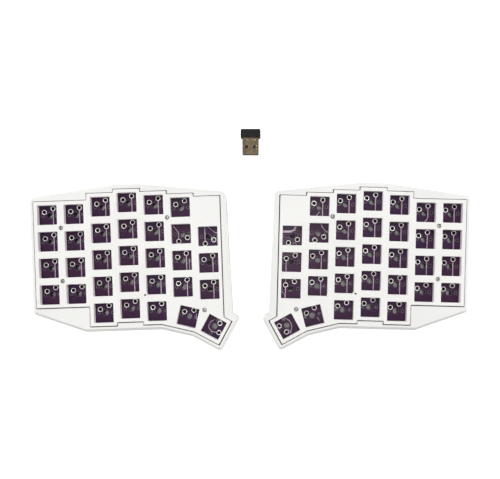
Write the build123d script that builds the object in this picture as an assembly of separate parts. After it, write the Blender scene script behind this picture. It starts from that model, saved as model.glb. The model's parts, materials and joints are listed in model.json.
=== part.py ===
from build123d import *
import os
from math import cos, radians, sin

# Split keyboard kit lying on a desk: two mirrored halves and a small wireless receiver.
# Millimetres, +X to the right, +Y away from the typist, +Z up, table at z = 0.
# A half is first drawn in its own frame: x runs from its outer side to its inner side,
# and the centre of the outermost column's rear key is at x = 0, y = 0.

# Key layout, in steps of one key pitch
pitch = 19.05
cutout = 14.0
column_shift_shares = (0, 0, 0.25, 0.375, 0.25, 0.125, 0)
first_rows = (0, 0, 0, 0, 0, 0, 1)
last_rows = (3, 3, 4, 4, 4, 3, 3)
thumb_centre_shares = ((5.152, -3.995), (6.105, -4.415))
thumb_turns = (-15, -30)
turned_sites = ((5, 1), (6, 1))
turned_by = 180
last_thumb_switch_turn = -90

# Heights, from the table up
foot_height = 1.5
floor_thick = 2.0
room_under_board = 5.4
board_thick = 1.6
board_to_plate_top = 5.0
plate_thick = 4.0

# Case
rim_outer = 3.4
rim = 3.75
rim_inner = 4.1
rim_thumb_rear = 5.0
rim_diagonal = 4.85
inner_side_splay = 1.3
case_corner = 3.0
rim_chamfer = 2.0
underside_chamfer = 0.6
plate_gap = 0.5
ledge = 1.2
gasket_thick = 0.5
gasket_slack = 0.05
board_gap = 0.4

# Plate screws and the posts under them, between the keys
screw_place_shares = ((0.5, -0.5), (0.5, -2.5), (4.5, -0.25))
screw_hole = 2.3
screw_shank = 2.0
screw_head = 3.6
screw_head_height = 1.3
head_seat = 4.2
head_seat_depth = 1.6
screw_length = 8.0
pilot_slack = 0.05
pilot_depth = 4.6
post_width = 6.0
spacer_width = 5.0
thumb_screw_out = 6.1
thumb_screw_back = 12.3

# Circuit board sites
switch_stem_hole = 4.0
pin_a = (-3.81, 2.54)
pin_b = (2.54, 5.08)
socket_height = 1.85
socket_left = 2.3
socket_right = 2.4
socket_front = 1.95
socket_rear = 1.85
socket_step = 2.1
diode_length = 2.7
diode_width = 1.6
diode_height = 1.1
diode_place = (6.6, 0.2)

# Type C port on the board's underside and the plug pocket in the rear wall
port_width = 8.94
port_height = 3.26
port_length = 7.35
port_wall = 0.31
port_corner = 1.2
port_back = 2.0
port_slack = 0.05
port_past_board = 2.3
tongue_width = 6.69
tongue_thick = 0.7
tongue_setback = 0.7
plug_pocket_width = 12.6
plug_pocket_height = 7.2
plug_pocket_corner = 2.4
port_window_slack = 0.25

# Radio module on the board's underside
module_width = 10.5
module_length = 15.5
module_thick = 0.8
module_from_port = 1.2
module_shift = 1.8
shield_width = 9.7
shield_length = 10.6
shield_height = 1.5
shield_corner = 0.8

# Battery pouch on the case floor
battery_width = 20.0
battery_length = 40.0
battery_thick = 3.0
battery_corner = 1.0
battery_inset = 2.3
battery_centre_row_share = 2.0

# Power slide switch at the board's inner edge
power_body_depth = 2.7
power_body_length = 6.7
power_body_height = 1.4
power_past_board = 0.15
power_rear_share = 0.05
slider_width = 1.3
slider_height = 0.8
slider_root = 1.1
slider_proud = 2.2
slider_travel = 2.0
slider_slack = 0.1
power_pocket_width = 8.6
power_pocket_height = 4.6
power_pocket_corner = 1.4
power_wall = 1.0
power_window_slack = 0.5

# Reset switch on the board's top, under a pinhole in the plate
reset_place_shares = (3.5, -3.125)
pinhole = 1.6
pinhole_past_column = 1.35
reset_body_length = 3.0
reset_body_width = 2.6
reset_body_height = 0.65
plunger_width = 1.2
plunger_slack = 0.1
plunger_sunk = 0.4
plunger_proud = 0.25
plunger_travel = 0.2
reset_floor = 0.05

# Rubber pads under the case
pad_length = 16.0
pad_width = 7.0
pad_corner = 1.2
pad_inset = 10.0

# Where the plates' inner rear corners and the receiver lie on the desk
left_corner = (-21.68, 52.84)
left_turn = 2.0
right_corner = (21.57, 53.26)
right_turn = -1.5
receiver_origin = (0.0, 96.9)

# Wireless receiver with a type A plug, lying flat, plug towards the typist
cap_width = 14.6
cap_height = 6.4
cap_length = 6.3
cap_corner = 1.4
cap_edge = 0.6
shell_width = 12.0
shell_height = 4.5
shell_length = 18.0
shell_wall = 0.3
shell_in_cap = 5.8
window_width = 2.3
window_length = 2.1
window_spacing = 5.6
window_from_mouth = 5.2
insert_thick = 1.9
insert_setback = 0.4
insert_slack = 0.04
contact_width = 1.0
contact_thick = 0.15
contact_pitch = 2.25
contact_setback = 1.6
contact_foot = 1.0
contact_count = 4
receiver_board_thick = 0.8
receiver_board_length = 9.0

# Small round holes and pieces that repeat are drawn with this many flats
round_sides = 12
overrun = 1.0

# Heights worked out from the sizes above
half_pitch = pitch / 2
case_bottom = foot_height
floor_top = case_bottom + floor_thick
board_bottom = floor_top + room_under_board
board_top = board_bottom + board_thick
plate_top = board_top + board_to_plate_top
plate_bottom = plate_top - plate_thick
ledge_top = plate_bottom - gasket_thick

columns = range(len(column_shift_shares))
last_column = len(column_shift_shares) - 1


def column_x(column):
    return column * pitch


def row_y(column, row):
    return (column_shift_shares[column] - row) * pitch


def turned(x, y, degrees_turned):
    """The point x, y after a turn about zero."""
    c, s = cos(radians(degrees_turned)), sin(radians(degrees_turned))
    return c * x - s * y, s * x + c * y


def thumb_point(thumb, across, back):
    """A point given in one thumb key's own frame."""
    x, y = turned(across, back, thumb_turns[thumb])
    return thumb_centre_shares[thumb][0] * pitch + x, thumb_centre_shares[thumb][1] * pitch + y


def crossing(p, q, r, s):
    """Where the line through p and q meets the line through r and s."""
    px, py = q[0] - p[0], q[1] - p[1]
    rx, ry = s[0] - r[0], s[1] - r[1]
    along = ((r[0] - p[0]) * ry - (r[1] - p[1]) * rx) / (px * ry - py * rx)
    return p[0] + along * px, p[1] + along * py


def moved_out(p, q, distance):
    """The line through p and q, moved to its left by a distance."""
    dx, dy = q[0] - p[0], q[1] - p[1]
    length = (dx * dx + dy * dy) ** 0.5
    ox, oy = -dy / length * distance, dx / length * distance
    return (p[0] + ox, p[1] + oy), (q[0] + ox, q[1] + oy)


# Corners of the plate that both the plate and the case follow
outer_front = (-half_pitch, row_y(0, last_rows[0]) - half_pitch)
outer_rear = (-half_pitch, row_y(0, 0) + half_pitch)
peak_column = max(columns, key=lambda c: column_shift_shares[c])
peak_outer = (column_x(peak_column) - half_pitch, row_y(peak_column, 0) + half_pitch)
peak_inner = (column_x(peak_column) + half_pitch, row_y(peak_column, 0) + half_pitch)
inner_rear = (column_x(last_column) + half_pitch, row_y(last_column, 0) + half_pitch)
inner_line = (inner_rear, (inner_rear[0], inner_rear[1] - pitch))
tip_rear_outer = thumb_point(1, -half_pitch, half_pitch)
tip_rear = thumb_point(1, half_pitch, half_pitch)
tip_front = thumb_point(1, half_pitch, -half_pitch)
tip_front_outer = thumb_point(1, -half_pitch, -half_pitch)
thumb_front_outer = thumb_point(0, -half_pitch, -half_pitch)
thumb_front_inner = thumb_point(0, half_pitch, -half_pitch)
inner_front = crossing(*inner_line, tip_rear_outer, tip_rear)
thumb_knee = crossing(tip_front, tip_front_outer, thumb_front_inner, thumb_front_outer)
front_column = last_rows.index(max(last_rows))
front_y = row_y(front_column, last_rows[front_column]) - half_pitch
front_outer = (column_x(front_column) - half_pitch, front_y)
front_line = ((0, front_y), (pitch, front_y))
front_inner = crossing(*front_line, thumb_front_inner, thumb_front_outer)

# Spots that the electronics follow
board_inset = ledge + board_gap
board_inner_x = inner_rear[0] - board_inset
board_rear_y = inner_rear[1] - board_inset
port_z = board_bottom - port_height / 2
port_mouth_y = board_rear_y + port_past_board
power_front_x = board_inner_x + power_past_board
power_y = row_y(last_column, power_rear_share)
power_z = board_bottom - power_body_height / 2
blank_x = column_x(last_column)
reset_spot = (reset_place_shares[0] * pitch + pinhole_past_column, reset_place_shares[1] * pitch)
thumb_centre = thumb_point(1, 0, 0)
screw_spots = [(x * pitch, y * pitch) for x, y in screw_place_shares]
screw_spots.append((thumb_centre[0] - thumb_screw_out, thumb_centre[1] + thumb_screw_back))


def key_sites():
    """Centre, turn and switch turn of each key of the left half."""
    sites = []
    for column in columns:
        for row in range(first_rows[column], last_rows[column] + 1):
            switch_turn = turned_by if (column, row) in turned_sites else 0
            sites.append((column_x(column), row_y(column, row), 0, switch_turn))
    for thumb, switch_turn in enumerate((0, last_thumb_switch_turn)):
        sites.append((*thumb_point(thumb, 0, 0), thumb_turns[thumb], switch_turn))
    return sites


def prism(face, low, high):
    return Pos(0, 0, low) * extrude(face, amount=high - low, dir=(0, 0, 1))


def outline(points, radii=0):
    return make_face(FilletPolyline(*points, radius=radii, close=True).edges())


def block(width, length, low, high, corner=0):
    face = RectangleRounded(width, length, corner) if corner else Rectangle(width, length)
    return prism(face, low, high)


def small_round(width, low, high):
    return prism(RegularPolygon(width / 2, round_sides), low, high)


def hole_down(width, depth):
    """A small round cut from just over z = 0 down to a depth."""
    return small_round(width, -depth, overrun)


def facing_rear(width, height, corner, front, rear):
    """A rounded bar along y, centred on x = 0 and z = 0."""
    across = Plane(origin=(0, front, 0), x_dir=(1, 0, 0), z_dir=(0, 1, 0))
    return extrude(across * RectangleRounded(width, height, corner), amount=rear - front, dir=(0, 1, 0))


def plate_corners():
    """The stepped outline of the key field with its thumb end, clockwise from its outer rear corner."""
    points = [outer_rear]
    for column in columns[:-1]:
        here, following = (row_y(c, 0) + half_pitch for c in (column, column + 1))
        if here != following:
            x = column_x(column) + half_pitch
            points += [(x, here), (x, following)]
    points += [inner_rear, inner_front, tip_rear, tip_front, thumb_knee, front_inner]
    for column in reversed(columns[1:5]):
        here, following = (row_y(c, last_rows[c]) - half_pitch for c in (column, column - 1))
        if here != following:
            x = column_x(column) - half_pitch
            points += [(x, here), (x, following)]
    return points + [outer_front]


def grown(points, distance):
    """Corners of a clockwise outline after each side moves out by a distance."""
    lines = [moved_out(start, end, distance) for start, end in zip(points, points[1:] + points[:1])]
    return [crossing(*line, *lines[i - 1]) for i, line in enumerate(lines)]


def plate_outline(distance=0):
    return outline(grown(plate_corners(), distance))


def case_outline():
    """Straight sides outside the plate, each at its own rim width, with rounded main corners."""
    splay_x, splay_y = turned(0, -pitch, inner_side_splay)
    inner_splayed = (inner_rear[0] + splay_x, inner_rear[1] + splay_y)
    sides = (
        (outer_front, outer_rear, rim_outer, case_corner),
        (outer_rear, peak_outer, rim, 0),
        (peak_outer, peak_inner, rim, 0),
        (peak_inner, inner_rear, rim, case_corner),
        (inner_rear, inner_splayed, rim_inner, 0),
        (inner_front, tip_rear, rim_thumb_rear, case_corner),
        (tip_rear, tip_front, rim, case_corner),
        (tip_front, thumb_knee, rim, 0),
        (thumb_knee, front_inner, rim, 0),
        (front_inner, front_outer, rim, 0),
        (front_outer, outer_front, rim_diagonal, case_corner),
    )
    lines = [moved_out(start, end, distance) for start, end, distance, _ in sides]
    corners = [crossing(*line, *lines[(i + 1) % len(lines)]) for i, line in enumerate(lines)]
    return outline(corners, [corner for *_, corner in sides])


def plug_pocket():
    """Room for a cable plug's grip, cut into the rear wall round the port."""
    depth_rear = port_mouth_y + 2 * plug_pocket_width
    pocket = facing_rear(plug_pocket_width, plug_pocket_height, plug_pocket_corner, port_mouth_y, depth_rear)
    slack = 2 * port_window_slack
    window = facing_rear(
        port_width + slack,
        port_height + slack,
        port_corner + port_window_slack,
        port_mouth_y - port_past_board - overrun,
        port_mouth_y + overrun,
    )
    return Pos(blank_x, 0, port_z) * (pocket + window)


def power_pocket():
    """A finger pocket in the inner wall, with a slot for the power slider."""
    across = Plane(origin=(0, 0, 0), x_dir=(0, 1, 0), z_dir=(1, 0, 0))
    pocket_x = inner_rear[0] - ledge + power_wall
    pocket_face = across * RectangleRounded(power_pocket_width, power_pocket_height, power_pocket_corner)
    pocket = Pos(pocket_x, 0, 0) * extrude(pocket_face, amount=power_pocket_width, dir=(1, 0, 0))
    slot_length = slider_width + slider_travel + 2 * power_window_slack
    slot_face = across * Rectangle(slot_length, slider_height + 2 * power_window_slack)
    slot_reach = power_wall + 2 * overrun
    slot = Pos(pocket_x - power_wall - overrun, 0, 0) * extrude(slot_face, amount=slot_reach, dir=(1, 0, 0))
    return Pos(0, power_y, power_z) * (pocket + slot)


def case():
    """A tray: rim round the plate, ledge under its gasket, posts for its screws."""
    body = prism(case_outline(), case_bottom, plate_top)
    body = chamfer(body.faces().sort_by(Axis.Z)[-1].outer_wire().edges(), rim_chamfer)
    body = chamfer(body.faces().sort_by(Axis.Z)[0].outer_wire().edges(), underside_chamfer)
    body -= prism(plate_outline(plate_gap), ledge_top, plate_top + overrun)
    body -= prism(plate_outline(-ledge), floor_top, ledge_top + overrun)
    for x, y in screw_spots:
        post = block(post_width, post_width, floor_top, board_bottom)
        pilot = Pos(0, 0, board_bottom) * hole_down(screw_shank + 2 * pilot_slack, pilot_depth)
        body += Pos(x, y, 0) * (post - pilot)
    return body - plug_pocket() - power_pocket()


def switch_plate():
    """The thick white plate, with a square hole for each switch and spacers round its screws."""
    plate = prism(plate_outline(), plate_bottom, plate_top)
    for x, y in screw_spots:
        plate += Pos(x, y, 0) * block(spacer_width, spacer_width, board_top, plate_bottom)
    cuts = []
    for x, y, turn, _ in key_sites():
        hole = block(cutout, cutout, plate_bottom - overrun, plate_top + overrun)
        cuts.append(Location((x, y, 0), (0, 0, turn)) * hole)
    for x, y in screw_spots:
        cuts.append(Pos(x, y, plate_top) * hole_down(screw_hole, board_to_plate_top + overrun))
        cuts.append(Pos(x, y, plate_top) * hole_down(head_seat, head_seat_depth))
    cuts.append(Pos(*reset_spot, plate_top) * hole_down(pinhole, plate_thick + overrun))
    return plate - cuts


def plate_gasket():
    """A thin foam ring on the case's ledge, under the plate's edge and under the gap round it."""
    ring = prism(plate_outline(plate_gap - gasket_slack), ledge_top, plate_bottom)
    return ring - prism(plate_outline(gasket_slack - ledge), ledge_top - overrun, plate_bottom + overrun)


def circuit_board():
    board = prism(plate_outline(-board_inset), board_bottom, board_top)
    cuts = []
    for x, y, _, _ in key_sites():
        cuts.append(Pos(x, y, board_top) * hole_down(switch_stem_hole, board_thick + overrun))
    for x, y in screw_spots:
        cuts.append(Pos(x, y, board_top) * hole_down(screw_hole, board_thick + overrun))
    return board - cuts


def at_switches(solid, side):
    """Copies of one solid at every switch of a half. The switches' own turns aren't mirrored."""
    copies = []
    for x, y, turn, switch_turn in key_sites():
        copies.append(Location((side * x, y, 0), (0, 0, side * (turn + switch_turn))) * solid)
    return copies


def switch_sockets(side):
    """A stepped socket body under each switch, over both of its pins."""
    left, front = pin_a[0] - socket_left, pin_a[1] - socket_front
    right, rear = pin_b[0] + socket_right, pin_b[1] + socket_rear
    points = (
        (left, front),
        (pin_a[0] + socket_step, front),
        (0, pin_b[1] - socket_step),
        (right, pin_b[1] - socket_step),
        (right, rear),
        (left, rear),
    )
    return at_switches(prism(outline(points), board_bottom - socket_height, board_bottom), side)


def diodes(side):
    body = block(diode_width, diode_length, board_bottom - diode_height, board_bottom)
    return at_switches(Pos(*diode_place, 0) * body, side)


def plate_screws():
    head_under = plate_top - head_seat_depth
    screws = []
    for x, y in screw_spots:
        head = small_round(screw_head, 0, screw_head_height)
        shank = small_round(screw_shank, -screw_length, 0)
        screws.append(Pos(x, y, head_under) * (head + shank))
    return screws


def usb_shell():
    """The port's metal shell, a rounded tube open at its mouth."""
    inside = 2 * port_wall
    tube = facing_rear(port_width, port_height, port_corner, -port_length, 0)
    tube -= facing_rear(
        port_width - inside,
        port_height - inside,
        port_corner - port_wall,
        -port_length - overrun,
        overrun,
    )
    return Pos(blank_x, port_mouth_y, port_z) * tube


def usb_tongue():
    """The plastic back of the port and its contact tongue."""
    inside = 2 * (port_wall + port_slack)
    corner = port_corner - port_wall - port_slack
    back = Box(port_width - inside, port_back, port_height - inside)
    back = Pos(0, port_back / 2 - port_length, 0) * chamfer(back.edges().filter_by(Axis.Y), corner)
    tongue_length = port_length - port_back - tongue_setback
    tongue_y = -tongue_setback - tongue_length / 2
    tongue = Pos(0, tongue_y, 0) * Box(tongue_width, tongue_length, tongue_thick)
    return Pos(blank_x, port_mouth_y, port_z) * (back + tongue)


def module_place():
    """The module's rear edge, under the port."""
    return blank_x - module_shift, port_mouth_y - port_length - module_from_port


def radio_module():
    x, rear_y = module_place()
    board = block(module_width, module_length, board_bottom - module_thick, board_bottom)
    return Pos(x, rear_y - module_length / 2, 0) * board


def radio_shield():
    """The metal can over the module's chips; the rest of the module is its aerial."""
    x, rear_y = module_place()
    top = board_bottom - module_thick
    can = block(shield_width, shield_length, top - shield_height, top)
    can = chamfer(can.edges().filter_by(Axis.Z), shield_corner)
    return Pos(x, rear_y - shield_length / 2 - (module_width - shield_width) / 2, 0) * can


def battery():
    x = board_inner_x - battery_inset - battery_width / 2
    y = row_y(last_column, battery_centre_row_share)
    pouch = block(battery_width, battery_length, floor_top, floor_top + battery_thick)
    return Pos(x, y, 0) * chamfer(pouch.edges().filter_by(Axis.Y), battery_corner)


def power_switch():
    """The switch body, with a slot for its slider."""
    body = Box(power_body_depth, power_body_length, power_body_height)
    slot_length = slider_width + slider_travel + 2 * slider_slack
    slot_depth = slider_root + slider_slack
    slot = Box(slot_depth + overrun, slot_length, slider_height + 2 * slider_slack)
    body = Pos(-power_body_depth / 2, 0, 0) * body - Pos((overrun - slot_depth) / 2, 0, 0) * slot
    return Pos(power_front_x, power_y, power_z) * body


def power_slider():
    """The slider at the front end of its travel, which is off."""
    length = slider_root + slider_proud
    knob = Pos(slider_proud - length / 2, -slider_travel / 2, 0) * Box(length, slider_width, slider_height)
    return Pos(power_front_x, power_y, power_z) * knob


def reset_switch():
    """A thin push switch, open round its plunger."""
    body = block(reset_body_length, reset_body_width, 0, reset_body_height)
    well_depth = reset_body_height - reset_floor
    well = Pos(0, 0, reset_body_height) * hole_down(plunger_width + 2 * plunger_slack, well_depth)
    return Pos(*reset_spot, board_top) * (body - well)


def reset_plunger():
    return Pos(*reset_spot, board_top + reset_body_height) * small_round(
        plunger_width, -plunger_sunk, plunger_proud
    )


def rubber_pads():
    """Four flat pads under the case, near its corners and its thumb end."""
    spots = (
        (outer_rear[0] + pad_inset, outer_rear[1] - pad_inset / 2, 0),
        (outer_front[0] + pad_inset, outer_front[1] + pad_inset / 2, 0),
        (inner_rear[0] - pad_inset, inner_rear[1] - pad_inset / 2, 0),
        (*thumb_centre, thumb_turns[1]),
    )
    pad = prism(chamfered_bar(), 0, foot_height)
    return [Location((x, y, 0), (0, 0, turn)) * pad for x, y, turn in spots]


def chamfered_bar():
    bar = Rectangle(pad_length, pad_width)
    return chamfer(bar.vertices(), pad_corner)


def half_nodes(side):
    """The pieces of one half in its own frame. The right half is the left one mirrored."""
    nodes = {
        "case": case(),
        "switch_plate": switch_plate(),
        "plate_gasket": plate_gasket(),
        "circuit_board": circuit_board(),
        "plate_screws": plate_screws(),
        "usb_shell": usb_shell(),
        "usb_tongue": usb_tongue(),
        "radio_module": radio_module(),
        "radio_shield": radio_shield(),
        "battery": battery(),
        "power_switch": power_switch(),
        "power_slider": power_slider(),
        "reset_switch": reset_switch(),
        "reset_plunger": reset_plunger(),
        "rubber_pads": rubber_pads(),
    }
    if side < 0:
        nodes = {name: mirrored(shape) for name, shape in nodes.items()}
    nodes["switch_sockets"] = switch_sockets(side)
    nodes["diodes"] = diodes(side)
    return nodes


def mirrored(shape):
    if isinstance(shape, list):
        return [mirror(solid, about=Plane.YZ) for solid in shape]
    return mirror(shape, about=Plane.YZ)


def receiver_cap():
    """The plastic grip, rounded at its corners, closed round the plug's rear end."""
    grip = facing_rear(cap_width, cap_height, cap_corner, 0, cap_length)
    grip = chamfer(grip.faces().sort_by(Axis.Y)[-1].outer_wire().edges(), cap_edge)
    socket = Pos(0, (shell_in_cap - overrun) / 2, 0)
    return grip - socket * Box(shell_width, shell_in_cap + overrun, shell_height)


def receiver_shell():
    """The plug's folded metal tube, with two windows through its top and its underside."""
    tube = Box(shell_width, shell_length, shell_height)
    tube -= Box(shell_width - 2 * shell_wall, shell_length + overrun, shell_height - 2 * shell_wall)
    window_y = window_from_mouth - shell_length / 2
    for x in (-window_spacing / 2, window_spacing / 2):
        tube -= Pos(x, window_y, 0) * Box(window_width, window_length, shell_height + overrun)
    return Pos(0, shell_in_cap - shell_length / 2, 0) * tube


def plug_inside():
    """The tube's inner width and height, its mouth and its underside inside."""
    mouth_y = shell_in_cap - shell_length
    return shell_width - 2 * (shell_wall + insert_slack), mouth_y, insert_slack + shell_wall - shell_height / 2


def receiver_insert():
    """The plastic tongue that carries the contacts."""
    width, mouth_y, low = plug_inside()
    length = shell_length - insert_setback - receiver_board_length
    middle = mouth_y + insert_setback + length / 2
    return Pos(0, middle, low + insert_thick / 2) * Box(width, length, insert_thick)


def receiver_board():
    """The small radio board behind the tongue."""
    width, mouth_y, low = plug_inside()
    middle = mouth_y + shell_length - receiver_board_length / 2
    height = low + insert_thick - receiver_board_thick / 2
    return Pos(0, middle, height) * Box(width, receiver_board_length, receiver_board_thick)


def receiver_contacts():
    """Flat springs along the tongue, their feet on the board behind it."""
    _, mouth_y, low = plug_inside()
    contact_length = shell_length - receiver_board_length + contact_foot - contact_setback
    middle = mouth_y + contact_setback + contact_length / 2
    height = low + insert_thick + contact_thick / 2
    strips = []
    for i in range(contact_count):
        x = (i - (contact_count - 1) / 2) * contact_pitch
        strips.append(Pos(x, middle, height) * Box(contact_width, contact_length, contact_thick))
    return strips


def as_compound(shape):
    return Compound(children=list(shape)) if isinstance(shape, list) else Compound(children=shape.solids())


def half_place(side, corner, turn):
    """Puts a half on the desk with its plate's inner rear corner at a spot."""
    x, y = turned(side * inner_rear[0], inner_rear[1], turn)
    return Location((corner[0] - x, corner[1] - y, 0), (0, 0, turn))


def all_nodes():
    """Every piece, placed on the desk with zero at the middle of the whole set's footprint."""
    halves = (("left", 1, left_corner, left_turn), ("right", -1, right_corner, right_turn))
    placed = {}
    for name, side, corner, turn in halves:
        place = half_place(side, corner, turn)
        for piece, shape in half_nodes(side).items():
            placed[f"{name}_{piece}"] = place * as_compound(shape)
    receiver = Location((*receiver_origin, cap_height / 2))
    for piece in (receiver_cap, receiver_shell, receiver_insert, receiver_board, receiver_contacts):
        placed[piece.__name__] = receiver * as_compound(piece())
    boxes = [shape.bounding_box() for shape in placed.values()]
    middle_x = (min(box.min.X for box in boxes) + max(box.max.X for box in boxes)) / 2
    middle_y = (min(box.min.Y for box in boxes) + max(box.max.Y for box in boxes)) / 2
    shift = Pos(-middle_x, -middle_y, 0)
    return {name: shift * shape for name, shape in placed.items()}, (middle_x, middle_y)


os.makedirs("parts", exist_ok=True)
nodes, set_middle = all_nodes()
for node, shape in nodes.items():
    export_step(shape, f"parts/{node}.step")
print("middle of the set, before it is moved to zero:", set_middle)
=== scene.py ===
"""Looks of a bare white split keyboard kit and its wireless receiver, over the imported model."""

import json
import math

import bmesh
import bpy
from mathutils import Matrix, Vector
from mathutils.geometry import tessellate_polygon

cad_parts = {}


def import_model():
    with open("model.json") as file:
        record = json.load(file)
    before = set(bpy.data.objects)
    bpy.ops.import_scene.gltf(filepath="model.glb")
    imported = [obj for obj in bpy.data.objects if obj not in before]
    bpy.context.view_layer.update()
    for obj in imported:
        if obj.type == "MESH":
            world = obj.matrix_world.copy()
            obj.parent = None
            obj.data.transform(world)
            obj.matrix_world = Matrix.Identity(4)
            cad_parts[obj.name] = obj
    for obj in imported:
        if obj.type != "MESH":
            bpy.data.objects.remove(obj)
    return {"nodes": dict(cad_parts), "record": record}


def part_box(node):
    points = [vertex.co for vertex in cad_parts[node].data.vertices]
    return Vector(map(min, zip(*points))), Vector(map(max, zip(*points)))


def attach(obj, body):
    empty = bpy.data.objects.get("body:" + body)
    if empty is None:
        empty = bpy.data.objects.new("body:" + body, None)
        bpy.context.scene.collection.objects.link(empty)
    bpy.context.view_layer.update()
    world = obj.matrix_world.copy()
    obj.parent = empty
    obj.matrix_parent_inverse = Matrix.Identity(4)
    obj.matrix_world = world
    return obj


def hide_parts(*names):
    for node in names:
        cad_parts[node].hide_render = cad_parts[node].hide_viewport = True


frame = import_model()
nodes = frame["nodes"]
mounts = {mount["name"]: mount for mount in frame["record"]["mounts"]}
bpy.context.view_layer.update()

MM = 0.001

# Key layout in millimetres, in a half's own frame: x from its outer to its inner side.
# Column shifts and thumb centres count in pitches, and a site is a column and a row from the rear.
PITCH = 19.05
HALF_PITCH = PITCH / 2
CUTOUT = 14.0
COLUMN_SHIFTS = (0, 0, 0.25, 0.375, 0.25, 0.125, 0)
FIRST_ROWS = (0, 0, 0, 0, 0, 0, 1)
LAST_ROWS = (3, 3, 4, 4, 4, 3, 3)
LAST_FRONT_COLUMN = 4
THUMB_CENTRES = ((5.152, -3.995), (6.105, -4.415))
THUMB_TURNS = (-15, -30)
TURNED_SITES = ((5, 1), (6, 1))
LAST_THUMB_SWITCH_TURN = -90
SCREW_SITES = ((0, 0), (0, 2), (4, 0))
THUMB_SCREW = (-6.1, 12.3)
RESET_SITE = (3, 3)
RESET_ASIDE = 1.35
MOUNT_SITE = (3, 2)

# Plate and board. The plate is a little smaller than packed and lies nearer the case's outer and rear side
PLATE_THICK = 4.0
PLATE_SHRINK = 0.05
PLATE_LEAN = (0.18, 0.15)
PLATE_CORNER = 0.6
BOARD_INSET = 1.6
PLATE_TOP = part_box("left_switch_plate")[1].z / MM
BOARD_LOW, BOARD_TOP = (corner.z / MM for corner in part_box("left_circuit_board"))
PLATE_LOW = PLATE_TOP - PLATE_THICK
SCREW_SEAT_Z = PLATE_TOP - 1.6
SCREW_HOLE_RADIUS = 1.15

# Switch footprint on the board
PIN_A = (-3.81, 2.54)
PIN_B = (2.54, 5.08)
PINS = (PIN_A, PIN_B)
SIDE_HOLES = (-5.08, 5.08)
PIN_HOLE_RADIUS = 1.4
STEM_HOLE_RADIUS = 2.0
SIDE_HOLE_RADIUS = 0.85

HALVES = (("left", 1), ("right", -1))

# How round corners and softened edges are cut. NEARLY_STRAIGHT is in radians, SOFTENED_ANGLE in degrees
CORNER_STEPS = 4
EDGE_STEPS = 3
NEARLY_STRAIGHT = 0.02
SOFTENED_ANGLE = 35
WELD_REACH = 0.002 * MM


# Plain geometry in millimetres


def turned(x, y, angle):
    c, s = math.cos(math.radians(angle)), math.sin(math.radians(angle))
    return c * x - s * y, s * x + c * y


def column_x(column):
    return column * PITCH


def row_y(column, row):
    return (COLUMN_SHIFTS[column] - row) * PITCH


def thumb_point(thumb, across, back):
    x, y = turned(across, back, THUMB_TURNS[thumb])
    return THUMB_CENTRES[thumb][0] * PITCH + x, THUMB_CENTRES[thumb][1] * PITCH + y


def crossing(p, q, r, s):
    """Where the line through p and q meets the line through r and s."""
    px, py = q[0] - p[0], q[1] - p[1]
    rx, ry = s[0] - r[0], s[1] - r[1]
    along = ((r[0] - p[0]) * ry - (r[1] - p[1]) * rx) / (px * ry - py * rx)
    return p[0] + along * px, p[1] + along * py


def anticlockwise(points):
    area = sum(a[0] * b[1] - b[0] * a[1] for a, b in zip(points, points[1:] + points[:1]))
    return list(points) if area > 0 else list(reversed(points))


def grown(points, distance):
    """A closed anticlockwise loop with each side moved outward."""
    moved = []
    for before, here, after in zip(points[-1:] + points[:-1], points, points[1:] + points[:1]):
        a = Vector((here[1] - before[1], before[0] - here[0])).normalized()
        b = Vector((after[1] - here[1], here[0] - after[0])).normalized()
        mitre = (a + b) / (1 + a.dot(b))
        moved.append((here[0] + mitre.x * distance, here[1] + mitre.y * distance))
    return moved


def rounded(corners, radius):
    """A closed loop with every corner turned into an arc."""
    points = []
    for before, here, after in zip(corners[-1:] + corners[:-1], corners, corners[1:] + corners[:1]):
        corner = Vector(here)
        a = (Vector(before) - corner).normalized()
        b = (Vector(after) - corner).normalized()
        between = a.angle(b)
        if math.pi - between < NEARLY_STRAIGHT:
            points.append(here)
            continue
        reach = radius / math.tan(between / 2)
        centre = corner + (a + b).normalized() * (radius / math.sin(between / 2))
        first, last = corner + a * reach - centre, corner + b * reach - centre
        sweep = math.atan2(first.x * last.y - first.y * last.x, first.dot(last))
        for i in range(CORNER_STEPS + 1):
            x, y = turned(first.x, first.y, math.degrees(sweep * i / CORNER_STEPS))
            points.append((centre.x + x, centre.y + y))
    return points


def circle(x, y, radius, steps=32):
    turns = [math.tau * i / steps for i in range(steps)]
    return [(x + radius * math.cos(t), y + radius * math.sin(t)) for t in turns]


def square_at(x, y, width, length, angle, corner):
    """A turned rectangle with rounded corners about a point."""
    w, h = width / 2, length / 2
    loop = rounded([(w, h), (-w, h), (-w, -h), (w, -h)], corner)
    return [(x + px, y + py) for px, py in (turned(*point, angle) for point in loop)]


# Key layout


def key_sites(side):
    """Place, cut-out turn and switch turn of each key. Switches aren't mirrored on the right half."""
    sites = {}
    for column, last in enumerate(LAST_ROWS):
        for row in range(FIRST_ROWS[column], last + 1):
            switch_turn = 180 if (column, row) in TURNED_SITES else 0
            sites[column, row] = (side * column_x(column), row_y(column, row), 0, switch_turn)
    for thumb, switch_turn in enumerate((0, LAST_THUMB_SWITCH_TURN)):
        x, y = thumb_point(thumb, 0, 0)
        turn = side * THUMB_TURNS[thumb]
        sites["thumb", thumb] = (side * x, y, turn, turn + side * switch_turn)
    return sites


def at_switch(site, x, y):
    """A point given in the frame of the switch at a site."""
    dx, dy = turned(x, y, site[3])
    return site[0] + dx, site[1] + dy


def reset_spot(side):
    column, row = RESET_SITE
    return side * (column_x(column) + HALF_PITCH + RESET_ASIDE), row_y(column, row) - HALF_PITCH


def screw_spots(side):
    spots = [(column_x(c) + HALF_PITCH, row_y(c, r) - HALF_PITCH) for c, r in SCREW_SITES]
    x, y = thumb_point(1, 0, 0)
    spots.append((x + THUMB_SCREW[0], y + THUMB_SCREW[1]))
    return [(side * x, y) for x, y in spots]


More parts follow.
